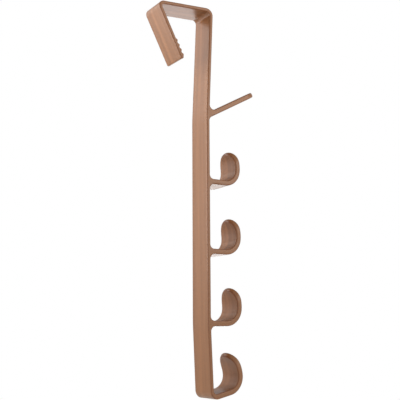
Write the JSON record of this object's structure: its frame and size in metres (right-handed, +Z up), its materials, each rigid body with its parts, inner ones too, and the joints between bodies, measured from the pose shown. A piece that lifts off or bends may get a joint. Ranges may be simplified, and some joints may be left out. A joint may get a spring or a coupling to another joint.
{
  "type": "over door hook",
  "caption": "Moulded plastic strip that hangs over a door's top edge by a toothed spring clip and carries a rising peg and a column of curled hooks.",
  "frame": {"origin": "middle of the seat, the underside of the top bar that rests on the door's top edge", "axes": "+Z up along the strip, +Y from the strip towards the door and the clip's tab, -Y towards the hooks, X across the strip's width"},
  "size_m": [0.022, 0.0927, 0.3036],
  "materials": {
    "bronze_plastic": "glossy moulded plastic, coloured through in a faintly pearly bronze brown"
  },
  "bodies": {
    "root": {"over_door_hook": "bronze_plastic"}
  },
  "joints": []
}
